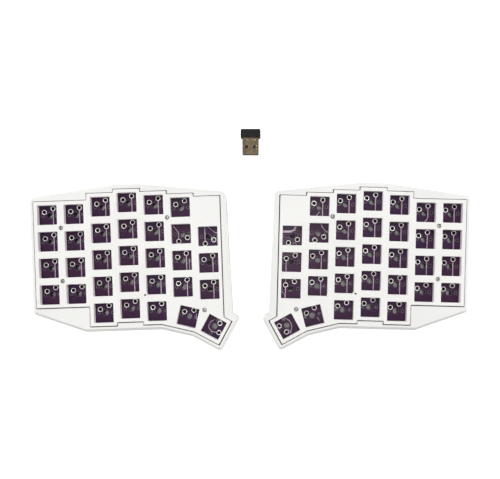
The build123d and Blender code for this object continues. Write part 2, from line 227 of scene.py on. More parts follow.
def rear_edge(column):
    return row_y(column, 0) + HALF_PITCH


def front_edge(column):
    return row_y(column, LAST_ROWS[column]) - HALF_PITCH


def plate_corners():
    """The stepped outline of the key field with its thumb end, which covers the last columns' front."""
    last_column = len(LAST_ROWS) - 1
    points = [(-HALF_PITCH, rear_edge(0))]
    for column in range(last_column):
        if rear_edge(column) != rear_edge(column + 1):
            x = column_x(column) + HALF_PITCH
            points += [(x, rear_edge(column)), (x, rear_edge(column + 1))]
    inner_x = column_x(last_column) + HALF_PITCH
    inner_rear = (inner_x, rear_edge(last_column))
    tip_rear_outer, tip_rear = (thumb_point(1, across, HALF_PITCH) for across in (-HALF_PITCH, HALF_PITCH))
    tip_outer, tip_front = (thumb_point(1, across, -HALF_PITCH) for across in (-HALF_PITCH, HALF_PITCH))
    thumb_outer, thumb_inner = (thumb_point(0, across, -HALF_PITCH) for across in (-HALF_PITCH, HALF_PITCH))
    inner_front = crossing(inner_rear, (inner_x, 0), tip_rear_outer, tip_rear)
    knee = crossing(tip_front, tip_outer, thumb_inner, thumb_outer)
    front_y = front_edge(LAST_FRONT_COLUMN)
    front_inner = crossing((0, front_y), (PITCH, front_y), thumb_inner, thumb_outer)
    points += [inner_rear, inner_front, tip_rear, tip_front, knee, front_inner]
    for column in range(LAST_FRONT_COLUMN, 0, -1):
        if front_edge(column) != front_edge(column - 1):
            x = column_x(column) - HALF_PITCH
            points += [(x, front_edge(column)), (x, front_edge(column - 1))]
    return points + [(-HALF_PITCH, front_edge(0))]


def plate_loop(side, distance):
    """The plate's outline with its sides moved outward, or inward by a distance below 0."""
    corners = anticlockwise([(side * x, y) for x, y in plate_corners()])
    return rounded(grown(corners, distance), PLATE_CORNER)


def half_place(name, side):
    """From a half's own frame to the desk, read off the record's mounts."""
    axis = mounts[f"{name}_type_c_port"]["axis"]
    site = Vector(mounts[f"{name}_switch_sites"]["pos_m"])
    turn = Matrix.Rotation(math.atan2(-axis[0], axis[1]), 4, "Z")
    column, row = MOUNT_SITE
    reach = turn @ Vector((side * column_x(column) * MM, row_y(column, row) * MM, 0))
    return Matrix.Translation((site.x - reach.x, site.y - reach.y, 0)) @ turn


# Mesh building


def ring(mesh, points, z):
    return [mesh.verts.new((x * MM, y * MM, z * MM)) for x, y in points]


def wall(mesh, upper, lower, slot=0):
    count = len(upper)
    for i in range(count):
        j = (i + 1) % count
        face = mesh.faces.new((upper[i], lower[i], lower[j], upper[j]))
        face.material_index = slot


def cap(mesh, rings, slot=0):
    flat = [vertex for loop in rings for vertex in loop]
    for triangle in tessellate_polygon([[vertex.co for vertex in loop] for loop in rings]):
        face = mesh.faces.new([flat[i] for i in triangle])
        face.material_index = slot


def soft_rings(low, high, top_edge, low_edge, steps=EDGE_STEPS):
    """Heights and insets down a wall whose two edges are rounded."""
    bends = [math.pi / 2 * i / steps for i in range(steps + 1)]
    rings = [(high - top_edge * (1 - math.cos(t)), top_edge * (1 - math.sin(t))) for t in bends]
    rings += [(low + low_edge * (1 - math.cos(t)), low_edge * (1 - math.sin(t))) for t in reversed(bends)]
    return rings


def carved(mesh, loops, cap_slot=0):
    """A flat solid from closed loops. Each is (points, is a hole, heights and insets, wall slot)."""
    tops, bottoms = [], []
    for points, hole, rings, slot in loops:
        outward = 1 if hole else -1
        loop = anticlockwise(points)
        levels = [ring(mesh, grown(loop, outward * inset), z) for z, inset in rings]
        for upper, lower in zip(levels, levels[1:]):
            wall(mesh, upper, lower, slot)
        tops.append(levels[0])
        bottoms.append(levels[-1])
    cap(mesh, tops, cap_slot)
    cap(mesh, bottoms, cap_slot)


def lathe(mesh, profile, x, y, steps=24, closed=False, slot=0):
    """Turns a profile of (radius, z) about an upright axis. A closed profile makes a ring."""
    levels = []
    for radius, z in profile:
        if radius:
            levels.append(ring(mesh, circle(x, y, radius, steps), z))
        else:
            levels.append([mesh.verts.new((x * MM, y * MM, z * MM))])
    pairs = list(zip(levels, levels[1:]))
    if closed:
        pairs.append((levels[-1], levels[0]))
    for upper, lower in pairs:
        if len(upper) == len(lower) > 1:
            wall(mesh, upper, lower, slot)
            continue
        tip, loop = (upper[0], lower) if len(upper) == 1 else (lower[0], upper)
        for a, b in zip(loop, loop[1:] + loop[:1]):
            mesh.faces.new((tip, a, b)).material_index = slot


def put(name, data):
    """An object in the scene from its data."""
    thing = bpy.data.objects.new(name, data)
    bpy.context.scene.collection.objects.link(thing)
    return thing


def made(name, mesh, finishes, place=None, smooth_under=50, weighted=True):
    """A shown object from a bmesh, with its finishes in slot order."""
    bmesh.ops.recalc_face_normals(mesh, faces=mesh.faces)
    if place is not None:
        mesh.transform(place)
    data = bpy.data.meshes.new(name)
    mesh.to_mesh(data)
    mesh.free()
    data.shade_smooth()
    data.set_sharp_from_angle(angle=math.radians(smooth_under))
    for finish in finishes:
        data.materials.append(finish)
    piece = put(name, data)
    if weighted:
        modifier = piece.modifiers.new("even_normals", "WEIGHTED_NORMAL")
        modifier.keep_sharp = True
    return piece


def bevelled(piece, width, angle, even_light=False):
    """Rounds the edges that are sharper than an angle."""
    edges = piece.modifiers.new("soft_edges", "BEVEL")
    edges.limit_method = "ANGLE"
    edges.angle_limit = math.radians(angle)
    edges.width = width * MM
    edges.segments = 2
    edges.harden_normals = even_light


def softened(node, finish, width):
    """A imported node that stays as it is, with its edges rounded and a finish."""
    piece = nodes[node]
    piece.data.materials.clear()
    piece.data.materials.append(finish)
    weld = piece.modifiers.new("weld", "WELD")
    weld.merge_threshold = WELD_REACH
    bevelled(piece, width, SOFTENED_ANGLE)
    modifier = piece.modifiers.new("even_normals", "WEIGHTED_NORMAL")
    modifier.keep_sharp = False
    for polygon in piece.data.polygons:
        polygon.use_smooth = True


# Finishes

VALUE, VECTOR, COLOUR = "NodeSocketFloat", "NodeSocketVector", "NodeSocketColor"
DUST_TONE = (0.8, 0.79, 0.76)

# How far the effects' values reach where they drive a roughness
GRAIN_SPREAD = (0.3, 0.7)
RUB_SPREAD = (0.0, 0.5)


def group(name, inputs, outputs):
    """An effect with its sockets. Inputs are (label, kind, value) and outputs are (label, kind)."""
    tree = bpy.data.node_groups.new(name, "ShaderNodeTree")
    for label, kind, value in inputs:
        socket = tree.interface.new_socket(label, in_out="INPUT", socket_type=kind)
        if value is not None:
            socket.default_value = value
    for label, kind in outputs:
        tree.interface.new_socket(label, in_out="OUTPUT", socket_type=kind)
    given, out = tree.nodes.new("NodeGroupInput"), tree.nodes.new("NodeGroupOutput")
    return tree, given.outputs, out.inputs


def add(tree, kind, links=None, **settings):
    """A node with its settings, and inputs either linked from sockets or given values."""
    made_node = tree.nodes.new(kind)
    for key, value in settings.items():
        setattr(made_node, key, value)
    for key, value in (links or {}).items():
        if isinstance(value, bpy.types.NodeSocket):
            tree.links.new(value, made_node.inputs[key])
        else:
            made_node.inputs[key].default_value = value
    return made_node


def wired(tree, inputs, links):
    """Links sockets to the named inputs of a shader or of a group's output."""
    for label, socket in links.items():
        tree.links.new(socket, inputs[label])


def maths(tree, operation, a, b=None, clamp=False):
    links = {0: a} if b is None else {0: a, 1: b}
    return add(tree, "ShaderNodeMath", links, operation=operation, use_clamp=clamp).outputs[0]


def mixed(tree, factor, a, b):
    blend = add(tree, "ShaderNodeMix", data_type="RGBA")
    for socket, value in zip((blend.inputs[0], blend.inputs[6], blend.inputs[7]), (factor, a, b)):
        if isinstance(value, bpy.types.NodeSocket):
            tree.links.new(value, socket)
        else:
            socket.default_value = value
    return blend.outputs[2]


def mapped(tree, value, low, high, to_low, to_high):
    links = {"Value": value, "From Min": low, "From Max": high, "To Min": to_low, "To Max": to_high}
    return add(tree, "ShaderNodeMapRange", links).outputs["Result"]


def shared(tree, a, share_a, b, share_b):
    """The sum of two values, each times its share."""
    return maths(tree, "ADD", maths(tree, "MULTIPLY", a, share_a), maths(tree, "MULTIPLY", b, share_b))


def noise(tree, vector, scale, detail, roughness=0.5):
    links = {"Vector": vector, "Scale": scale, "Detail": detail, "Roughness": roughness}
    return add(tree, "ShaderNodeTexNoise", links).outputs["Fac"]


def bumped(tree, strength, depth, height):
    """A normal that follows a height, with its depth in millimetres."""
    links = {"Strength": strength, "Distance": depth * MM, "Height": height}
    return add(tree, "ShaderNodeBump", links).outputs["Normal"]


def grain_group():
    """Fine moulded or printed grain: small pits over a slower unevenness."""
    tree, given, out = group(
        "moulded_grain",
        [("Vector", VECTOR, None), ("Pit Scale", VALUE, 3000.0), ("Slow Scale", VALUE, 120.0)],
        [("Height", VALUE), ("Unevenness", VALUE)],
    )
    pits = noise(tree, given["Vector"], given["Pit Scale"], detail=3.0, roughness=0.6)
    slow = noise(tree, given["Vector"], given["Slow Scale"], detail=4.0, roughness=0.55)
    wired(tree, out, {"Height": shared(tree, pits, 0.6, slow, 0.4), "Unevenness": slow})
    return tree


def drift_group():
    """A colour that drifts slowly between two near tones, with small flecks of a third."""
    tree, given, out = group(
        "tone_drift",
        [("Vector", VECTOR, None), ("Scale", VALUE, 25.0), ("Tone A", COLOUR, None), ("Tone B", COLOUR, None),
         ("Fleck", COLOUR, None), ("Fleck Amount", VALUE, 0.2)],
        [("Color", COLOUR)],
    )
    drift = noise(tree, given["Vector"], given["Scale"], detail=3.0)
    flecks = add(tree, "ShaderNodeTexVoronoi", {"Vector": given["Vector"], "Scale": 900.0})
    small = mapped(tree, flecks.outputs["Distance"], 0.05, 0.22, 1.0, 0.0)
    amount = maths(tree, "MULTIPLY", small, given["Fleck Amount"])
    base = mixed(tree, mapped(tree, drift, 0.35, 0.65, 0.0, 1.0), given["Tone A"], given["Tone B"])
    wired(tree, out, {"Color": mixed(tree, amount, base, given["Fleck"])})
    return tree


def dust_group():
    """Thin dust on faces that look up, denser in patches."""
    tree, given, out = group(
        "settled_dust",
        [("Vector", VECTOR, None), ("Amount", VALUE, 0.1)],
        [("Mask", VALUE)],
    )
    normal = add(tree, "ShaderNodeNewGeometry").outputs["Normal"]
    up = add(tree, "ShaderNodeSeparateXYZ", {"Vector": normal}).outputs["Z"]
    facing = mapped(tree, up, 0.5, 0.95, 0.0, 1.0)
    patches = noise(tree, given["Vector"], 420.0, detail=6.0, roughness=0.7)
    settled = maths(tree, "MULTIPLY", facing, mapped(tree, patches, 0.5, 0.75, 0.0, 1.0))
    wired(tree, out, {"Mask": maths(tree, "MULTIPLY", settled, given["Amount"], clamp=True)})
    return tree


def rub_group():
    """Fine straight rubs along one direction."""
    tree, given, out = group(
        "fine_rubs",
        [("Vector", VECTOR, None), ("Stretch", VECTOR, (30.0, 1200.0, 1200.0)), ("Amount", VALUE, 0.5)],
        [("Height", VALUE), ("Mask", VALUE)],
    )
    links = {0: given["Vector"], 1: given["Stretch"]}
    stretched = add(tree, "ShaderNodeVectorMath", links, operation="MULTIPLY").outputs["Vector"]
    rubs = noise(tree, stretched, 1.0, detail=5.0, roughness=0.65)
    mask = maths(tree, "MULTIPLY", mapped(tree, rubs, 0.4, 0.7, 0.0, 1.0), given["Amount"])
    wired(tree, out, {"Height": rubs, "Mask": mask})
    return tree


def weave_group():
    """Crossed glass bundles that print faintly through a board's lacquer."""
    tree, given, out = group(
        "glass_weave",
        [("Vector", VECTOR, None), ("Scale", VALUE, 400.0)],
        [("Height", VALUE)],
    )
    links = {"Vector": given["Vector"], "Scale": given["Scale"], "Distortion": 0.6, "Detail": 1.0}
    bands = [add(tree, "ShaderNodeTexWave", links, bands_direction=axis).outputs["Fac"] for axis in "XY"]
    wired(tree, out, {"Height": maths(tree, "MAXIMUM", *bands)})
    return tree


GRAIN, DRIFT, DUST, RUBS, WEAVE = grain_group(), drift_group(), dust_group(), rub_group(), weave_group()


def shade(rgb):
    """Linear colour of a display colour given in 0 to 1."""
    return tuple(c / 12.92 if c <= 0.04045 else ((c + 0.055) / 1.055) ** 2.4 for c in rgb) + (1.0,)


def placed(tree, effect, links):
    """The outputs of an effect placed in a material."""
    return add(tree, "ShaderNodeGroup", links, node_tree=effect).outputs


def drifting(tree, vector, scale, tones, fleck_amount):
    """The drift effect's colour, from two display colours and the one of its flecks."""
    links = {"Vector": vector, "Scale": scale, "Fleck Amount": fleck_amount}
    links.update(zip(("Tone A", "Tone B", "Fleck"), map(shade, tones)))
    return placed(tree, DRIFT, links)["Color"]


def blank_material(name, **constants):
    """A material with its fixed values set, and what its effects are placed with."""
    material = bpy.data.materials.new(name)
    material.use_nodes = True
    shader = material.node_tree.nodes["Principled BSDF"]
    for socket, value in constants.items():
        shader.inputs[socket.replace("_", " ")].default_value = value
    vector = add(material.node_tree, "ShaderNodeTexCoord").outputs["Object"]
    return material, material.node_tree, shader, vector


def finish_material(name, tone_a, tone_b, fleck, rough, bump, fleck_amount=0.2, pit_scale=3000.0,
                    slow_scale=120.0, dust=0.0, **constants):
    """A surface with drifting tone, grain that lifts and roughens it, and settled dust.

    The tones are display colours, rough is a range and bump is a strength and a depth in millimetres.
    """
    material, tree, shader, vector = blank_material(name, **constants)
    colour = drifting(tree, vector, 25.0, (tone_a, tone_b, fleck), fleck_amount)
    grain = placed(tree, GRAIN, {"Vector": vector, "Pit Scale": pit_scale, "Slow Scale": slow_scale})
    roughness = mapped(tree, grain["Unevenness"], *GRAIN_SPREAD, *rough)
    if dust:
        settled = placed(tree, DUST, {"Vector": vector, "Amount": dust})["Mask"]
        colour = mixed(tree, settled, colour, shade(DUST_TONE))
        roughness = maths(tree, "ADD", roughness, maths(tree, "MULTIPLY", settled, 0.3), clamp=True)
    normal = bumped(tree, *bump, grain["Height"])
    wired(tree, shader.inputs, {"Base Color": colour, "Roughness": roughness, "Normal": normal})
    return material


def metal_material(name, tone_a, tone_b, rough, bump=(0.15, 0.01), stretch=(30.0, 1200.0, 1200.0)):
    """Metal with drifting tint and fine rubs that change its gloss."""
    material, tree, shader, vector = blank_material(name, Metallic=1.0)
    colour = drifting(tree, vector, 60.0, (tone_a, tone_b, tone_b), 0.2)
    rubs = placed(tree, RUBS, {"Vector": vector, "Stretch": stretch, "Amount": 0.4})
    roughness = mapped(tree, rubs["Mask"], *RUB_SPREAD, *rough)
    normal = bumped(tree, *bump, rubs["Height"])
    wired(tree, shader.inputs, {"Base Color": colour, "Roughness": roughness, "Normal": normal})
    return material


def lacquered_board():
    """Dark aubergine lacquer over glass weave, a little browner in places, with a thin gloss and dust."""
    tones = (0.215, 0.125, 0.245), (0.25, 0.13, 0.235), (0.32, 0.2, 0.33)
    dust_tone = (0.5, 0.46, 0.5)
    material, tree, shader, vector = blank_material(
        "aubergine_lacquer", Coat_Roughness=0.12, Coat_IOR=1.5, Specular_IOR_Level=0.1)
    colour = drifting(tree, vector, 45.0, tones, 0.25)
    weave = placed(tree, WEAVE, {"Vector": vector, "Scale": 420.0})
    grain = placed(tree, GRAIN, {"Vector": vector, "Pit Scale": 2200.0, "Slow Scale": 90.0})
    settled = placed(tree, DUST, {"Vector": vector, "Amount": 0.08})["Mask"]
    height = shared(tree, weave["Height"], 0.7, grain["Height"], 0.3)
    wired(tree, shader.inputs, {
        "Base Color": mixed(tree, settled, colour, shade(dust_tone)),
        "Roughness": mapped(tree, grain["Unevenness"], *GRAIN_SPREAD, 0.3, 0.42),
        "Coat Weight": mapped(tree, grain["Unevenness"], *GRAIN_SPREAD, 0.04, 0.01),
        "Normal": bumped(tree, 0.12, 0.02, height),
    })
    return material


def plug_steel_with_painted_side_shade():
    """Bronze-grey plated steel that drifts in patches, with painted shade on its narrow sides and bends: a
    darker tone, picked by how far the surface turns from flat, stands in for the dark reflections there.
    """
    tones = (0.335, 0.3, 0.25), (0.305, 0.26, 0.195), (0.41, 0.38, 0.34)
    painted_side_shade_tone = (0.15, 0.135, 0.115)
    material, tree, shader, vector = blank_material("receiver_plug_steel", Metallic=1.0)
    colour = drifting(tree, vector, 190.0, tones, 0.3)
    rubs = placed(tree, RUBS, {"Vector": vector, "Stretch": (900.0, 60.0, 900.0), "Amount": 0.5})
    normal = add(tree, "ShaderNodeTexCoord").outputs["Normal"]
    level = maths(tree, "ABSOLUTE", add(tree, "ShaderNodeSeparateXYZ", {"Vector": normal}).outputs["Z"])
    # Painted shade: narrow sides and bends are mixed towards a dark tone by their normal, in place of the
    # dark reflections they show.
    painted_side_shade = mapped(tree, level, 0.15, 0.8, 1.0, 0.0)
    wired(tree, shader.inputs, {
        "Base Color": mixed(tree, painted_side_shade, colour, shade(painted_side_shade_tone)),
        "Roughness": mapped(tree, rubs["Mask"], *RUB_SPREAD, 0.18, 0.28),
        "Normal": bumped(tree, 0.2, 0.015, rubs["Height"]),
    })
    return material


WHITE_CASE = finish_material(
    "white_case", (0.955, 0.953, 0.943), (0.935, 0.935, 0.927), (0.9, 0.895, 0.88), (0.56, 0.7),
    (0.12, 0.02), dust=0.04, fleck_amount=0.12, Specular_IOR_Level=0.28,
)
WHITE_PLATE = finish_material(
    "white_plate", (0.965, 0.963, 0.953), (0.95, 0.948, 0.938), (0.9, 0.895, 0.88), (0.54, 0.68),
    (0.1, 0.015), dust=0.03, fleck_amount=0.1, Specular_IOR_Level=0.25,
)
# Painted light: the plate's walls and spacers are a little brighter and pinker than its top, standing in for
# light on the cut-out walls and a pink tint like light bounced off the board.
PLATE_WALL_PAINTED_LIGHT = finish_material(
    "plate_walls_painted_light", (0.975, 0.955, 0.955), (0.955, 0.935, 0.935), (0.9, 0.88, 0.88), (0.5, 0.6),
    (0.25, 0.03), pit_scale=1500.0, Specular_IOR_Level=0.3,
)
BOARD = lacquered_board()
BOARD_CORE = finish_material(
    "board_core", (0.2, 0.17, 0.155), (0.165, 0.14, 0.13), (0.32, 0.28, 0.24), (0.6, 0.75), (0.5, 0.05),
    pit_scale=5000.0, fleck_amount=0.5,
)
TRACK = finish_material(
    "lacquered_copper", (0.74, 0.67, 0.73), (0.66, 0.58, 0.65), (0.82, 0.75, 0.8), (0.3, 0.4),
    (0.2, 0.01), fleck_amount=0.2, Coat_Weight=0.3, Coat_Roughness=0.15,
)
RIM_LACQUER = finish_material(
    "rim_lacquer", (0.52, 0.46, 0.52), (0.46, 0.39, 0.46), (0.58, 0.52, 0.58), (0.34, 0.44), (0.2, 0.01),
    fleck_amount=0.2, Specular_IOR_Level=0.4,
)
RING_METAL = metal_material(
    "tinned_rings", (0.86, 0.85, 0.85), (0.74, 0.73, 0.72), (0.36, 0.52), bump=(0.4, 0.03),
    stretch=(900.0, 900.0, 900.0),
)
SOCKET_PLASTIC = finish_material(
    "socket_plastic", (0.06, 0.056, 0.06), (0.08, 0.075, 0.08), (0.13, 0.12, 0.13), (0.5, 0.62),
    (0.3, 0.03), fleck_amount=0.3, Specular_IOR_Level=0.12,
)
SPRING_METAL = metal_material("spring_metal", (0.3, 0.26, 0.2), (0.24, 0.21, 0.16), (0.3, 0.45))
SCREW_METAL = metal_material(
    "screw_steel", (0.66, 0.66, 0.65), (0.52, 0.52, 0.51), (0.28, 0.42), stretch=(600.0, 600.0, 600.0),
)
PORT_METAL = metal_material("port_steel", (0.72, 0.72, 0.71), (0.6, 0.6, 0.6), (0.24, 0.38))
PORT_PLASTIC = finish_material(
    "port_plastic", (0.07, 0.07, 0.075), (0.09, 0.09, 0.095), (0.14, 0.14, 0.15), (0.42, 0.52),
    (0.2, 0.02),
)
GOLD = metal_material("gold_contacts", (0.87, 0.71, 0.4), (0.78, 0.61, 0.32), (0.22, 0.34))
MODULE_BOARD = finish_material(
    "module_board", (0.09, 0.27, 0.17), (0.07, 0.22, 0.14), (0.22, 0.4, 0.28), (0.32, 0.45), (0.2, 0.02),
    fleck_amount=0.3, Coat_Weight=0.25,
)
SHIELD_METAL = metal_material("shield_tin", (0.75, 0.75, 0.74), (0.63, 0.63, 0.63), (0.3, 0.42))
# Painted shade: the battery is coloured dark charcoal rather than foil silver, so that it reads as shade
# where it shows through the board's holes.
BATTERY_PAINTED_DARK = finish_material(
    "battery_painted_dark", (0.16, 0.16, 0.17), (0.2, 0.2, 0.21), (0.3, 0.3, 0.3), (0.45, 0.6), (0.4, 0.06),
    pit_scale=900.0, Specular_IOR_Level=0.25,
)
SWITCH_METAL = metal_material("switch_case_tin", (0.7, 0.69, 0.67), (0.58, 0.57, 0.55), (0.3, 0.42))
SLIDER_PLASTIC = finish_material(
    "slider_plastic", (0.12, 0.12, 0.125), (0.15, 0.15, 0.155), (0.24, 0.24, 0.25), (0.45, 0.58),
    (0.3, 0.03),
)
RESET_METAL = metal_material("reset_case_tin", (0.74, 0.73, 0.7), (0.6, 0.59, 0.57), (0.3, 0.42))
RESET_BUTTON = finish_material(
    "reset_button", (0.16, 0.15, 0.16), (0.2, 0.19, 0.2), (0.3, 0.28, 0.3), (0.4, 0.5), (0.2, 0.02),
)
RUBBER = finish_material(
    "rubber_pads", (0.2, 0.2, 0.205), (0.245, 0.245, 0.25), (0.36, 0.36, 0.36), (0.7, 0.86), (0.5, 0.06),
    pit_scale=1600.0, dust=0.2,
)
FOAM = finish_material(
    "gasket_foam", (0.06, 0.06, 0.065), (0.09, 0.09, 0.095), (0.02, 0.02, 0.02), (0.85, 0.95),
    (0.8, 0.12), pit_scale=1400.0, slow_scale=300.0, fleck_amount=0.6, Specular_IOR_Level=0.15,
)
DIODE_BODY = finish_material(
    "diode_bodies", (0.1, 0.1, 0.105), (0.14, 0.14, 0.145), (0.55, 0.55, 0.55), (0.4, 0.52), (0.2, 0.02),
    fleck_amount=0.25,
)
GRIP_PLASTIC = finish_material(
    "receiver_plastic_grip", (0.075, 0.072, 0.075), (0.095, 0.092, 0.095), (0.2, 0.195, 0.19),
    (0.42, 0.54), (0.3, 0.03), pit_scale=2400.0, dust=0.03, Specular_IOR_Level=0.1,
)
PLUG_METAL = plug_steel_with_painted_side_shade()
PLUG_PLASTIC = finish_material(
    "receiver_tongue", (0.1, 0.085, 0.07), (0.13, 0.11, 0.09), (0.2, 0.18, 0.16), (0.42, 0.55),
    (0.2, 0.02),
)
RECEIVER_BOARD = finish_material(
    "receiver_board", (0.1, 0.26, 0.17), (0.08, 0.21, 0.14), (0.25, 0.4, 0.3), (0.3, 0.42), (0.2, 0.02),
    fleck_amount=0.3, Coat_Weight=0.25,
)


# Camera, floor and light

# The camera looks straight down. Its place, lens and shift were fitted to the corners of the key cut-outs
CAMERA_PLACE = (0.01538, -0.02265, 0.4039)
CAMERA_LENS = 39.14
CAMERA_SHIFT = (-0.0428, 0.0603)
SENSOR_WIDTH = 36.0

FLOOR_REACH = 5.0
FLOOR_DROP = 0.00002
FLOOR_TONE = 0.86
FLOOR_GLOW = 0.72
ROOM_LIGHT = 0.2

# Softboxes in metres and watts: name, place, size and power
SOFTBOXES = (
    ("rear_softbox", (0.0, 1.3, 1.75), (0.5, 0.5), 14.0),
    ("overhead_softbox", (0.0, 0.14, 1.9), (0.26, 0.26), 6.8),
    ("front_softbox", (0.0, -1.2, 1.5), (0.5, 0.5), 5.1),
    ("left_softbox", (-1.3, 0.25, 0.55), (0.6, 0.8), 7.4),
    ("right_softbox", (1.3, 0.25, 0.55), (0.6, 0.8), 7.4),
)
LIT_SPOT = (0, -0.02, 0)

bpy.context.scene.view_settings.view_transform = "Standard"


def camera():
    data = bpy.data.cameras.new("overhead_camera")
    data.sensor_width = SENSOR_WIDTH
    data.lens = CAMERA_LENS
    data.shift_x, data.shift_y = CAMERA_SHIFT
    data.clip_start = 0.01
    data.clip_end = 20.0
    eye = put("overhead_camera", data)
    eye.location = CAMERA_PLACE
    bpy.context.scene.camera = eye


def grey(value):
    return value, value, value, 1.0


def seen_directly(tree):
    path = add(tree, "ShaderNodeLightPath")
    seen = maths(tree, "MAXIMUM", path.outputs["Is Camera Ray"], path.outputs["Is Glossy Ray"])
    return maths(tree, "MAXIMUM", seen, path.outputs["Is Transmission Ray"])


def floor():
    """A pale tabletop that reads as white where it is lit and keeps the shadow of what lies on it."""
    data = bpy.data.meshes.new("pale_floor")
    corners = [(x * FLOOR_REACH, y * FLOOR_REACH, 0) for x, y in ((-1, -1), (1, -1), (1, 1), (-1, 1))]
    data.from_pydata(corners, [], [(0, 1, 2, 3)])
    top = put("pale_floor", data)
    top.location.z = -FLOOR_DROP
    material = bpy.data.materials.new("pale_floor")
    material.use_nodes = True
    tree = material.node_tree
    tree.nodes.clear()
    plain = add(tree, "ShaderNodeBsdfDiffuse", {"Color": grey(FLOOR_TONE)})
    strength = maths(tree, "MULTIPLY", seen_directly(tree), FLOOR_GLOW)
    glow = add(tree, "ShaderNodeEmission", {"Color": grey(1.0), "Strength": strength})
    both = add(tree, "ShaderNodeAddShader", {0: plain.outputs[0], 1: glow.outputs[0]})
    below = add(tree, "ShaderNodeNewGeometry").outputs["Backfacing"]
    clear = add(tree, "ShaderNodeBsdfTransparent")
    shown = add(tree, "ShaderNodeMixShader", {0: below, 1: both.outputs[0], 2: clear.outputs[0]})
    wired(tree, add(tree, "ShaderNodeOutputMaterial").inputs, {"Surface": shown.outputs[0]})
    data.materials.append(material)


def world():
    """Soft light from all round, seen as plain white."""
    room = bpy.data.worlds.new("white_room")
    room.use_nodes = True
    tree = room.node_tree
    tree.nodes.clear()
    soft = add(tree, "ShaderNodeBackground", {"Color": (1.0, 0.995, 0.985, 1.0), "Strength": ROOM_LIGHT})
    white = add(tree, "ShaderNodeBackground", {"Color": grey(1.0), "Strength": 1.0})
    links = {0: seen_directly(tree), 1: soft.outputs[0], 2: white.outputs[0]}
    shown = add(tree, "ShaderNodeMixShader", links)
    wired(tree, add(tree, "ShaderNodeOutputWorld").inputs, {"Surface": shown.outputs[0]})
    bpy.context.scene.world = room


def lamp(name, place, size, power):
    data = bpy.data.lights.new(name, "AREA")
    data.shape = "RECTANGLE"
    data.size, data.size_y = size
    data.energy = power
    light = put(name, data)
    light.location = place
    light.rotation_mode = "QUATERNION"
    light.rotation_quaternion = (Vector(LIT_SPOT) - Vector(place)).to_track_quat("-Z", "Y")


# Pieces of a half


def key_plate(name, side, place):
    """The thick plate: stepped outline, softened square cut-outs, screw seats, reset hole and spacers."""
    plate_edges, cutout_edges, reset_edges = (0.3, 0.2), (0.18, 0.15), (0.12, 0.05)
    cutout_corner, reset_radius = 0.5, 0.8
    seat_radius, seat_edge = 1.62, 0.2
    spacer_width, spacer_corner, spacer_edge = 5.0, 0.8, 0.2
    spacer_hole_edge, spacer_overlap = 0.1, 0.05
    mesh = bmesh.new()
    outline = [(x - side * PLATE_LEAN[0], y + PLATE_LEAN[1]) for x, y in plate_loop(side, -PLATE_SHRINK)]
    loops = [(outline, False, soft_rings(PLATE_LOW, PLATE_TOP, *plate_edges), 1)]
    for x, y, turn, _ in key_sites(side).values():
        hole = square_at(x, y, CUTOUT, CUTOUT, turn, cutout_corner)
        loops.append((hole, True, soft_rings(PLATE_LOW, PLATE_TOP, *cutout_edges), 1))
    step = SCREW_HOLE_RADIUS - seat_radius
    seat = soft_rings(SCREW_SEAT_Z, PLATE_TOP, seat_edge, 0)[:EDGE_STEPS + 1]
    seat += [(SCREW_SEAT_Z, 0), (SCREW_SEAT_Z, step), (PLATE_LOW, step)]
    loops += [(circle(*spot, seat_radius), True, seat, 1) for spot in screw_spots(side)]
    reset = circle(*reset_spot(side), reset_radius, 20)
    loops.append((reset, True, soft_rings(PLATE_LOW, PLATE_TOP, *reset_edges), 1))
    carved(mesh, loops)
    spacer_top = PLATE_LOW + spacer_overlap
    for x, y in screw_spots(side):
        outer = square_at(x, y, spacer_width, spacer_width, 0, spacer_corner)
        inner = circle(x, y, SCREW_HOLE_RADIUS, 20)
        carved(mesh, [(outer, False, soft_rings(BOARD_TOP, spacer_top, 0, spacer_edge), 1),
                      (inner, True, soft_rings(BOARD_TOP, spacer_top, 0, spacer_hole_edge), 1)], 1)
    piece = made(f"{name}_key_plate", mesh, [WHITE_PLATE, PLATE_WALL_PAINTED_LIGHT], place)
    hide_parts(f"{name}_switch_plate")
    return piece


def board_hole(spot, radius, steps, edge=0):
    """A round hole through the board. Its edges are sharp unless a softening is given."""
    rings = soft_rings(BOARD_LOW, BOARD_TOP, edge, edge) if edge else [(BOARD_TOP, 0), (BOARD_LOW, 0)]
    return circle(*spot, radius, steps), True, rings, 1


def wiring_board(name, side, place):
    """The board under the plate, drilled for each switch's stem, pins and side pegs and for the screws."""
    outer_edge, stem_edge, side_edge = 0.06, 0.05, 0.04
    mesh = bmesh.new()
    outer_rings = soft_rings(BOARD_LOW, BOARD_TOP, outer_edge, outer_edge)
    loops = [(plate_loop(side, -BOARD_INSET), False, outer_rings, 1)]
    for site in key_sites(side).values():
        loops.append(board_hole(site[:2], STEM_HOLE_RADIUS, 36, stem_edge))
        loops += [board_hole(at_switch(site, *pin), PIN_HOLE_RADIUS, 24) for pin in PINS]
        loops += [board_hole(at_switch(site, out, 0), SIDE_HOLE_RADIUS, 20, side_edge) for out in SIDE_HOLES]
    loops += [board_hole(spot, SCREW_HOLE_RADIUS, 24) for spot in screw_spots(side)]
    carved(mesh, loops)
    piece = made(f"{name}_wiring_board", mesh, [BOARD, BOARD_CORE], place)
    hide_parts(f"{name}_circuit_board")
    return piece


def ring_pads(name, side, place):
    """Tinned rings round the pin holes, each plated down through the board."""
    bore, hole, outer = 1.34, PIN_HOLE_RADIUS, 1.795
    low, top = BOARD_LOW + 0.02, BOARD_TOP + 0.05
    under = top - 0.06
    profile = ((bore, low), (bore, top - 0.05), (hole, top), (outer - 0.065, top),
               (outer - 0.015, top - 0.02), (outer, under), (hole, under), (hole, low))
    mesh = bmesh.new()
    for site in key_sites(side).values():
        for pin in PINS:
            lathe(mesh, profile, *at_switch(site, *pin), closed=True)
    piece = made(f"{name}_ring_pads", mesh, [RING_METAL], place)
    return piece


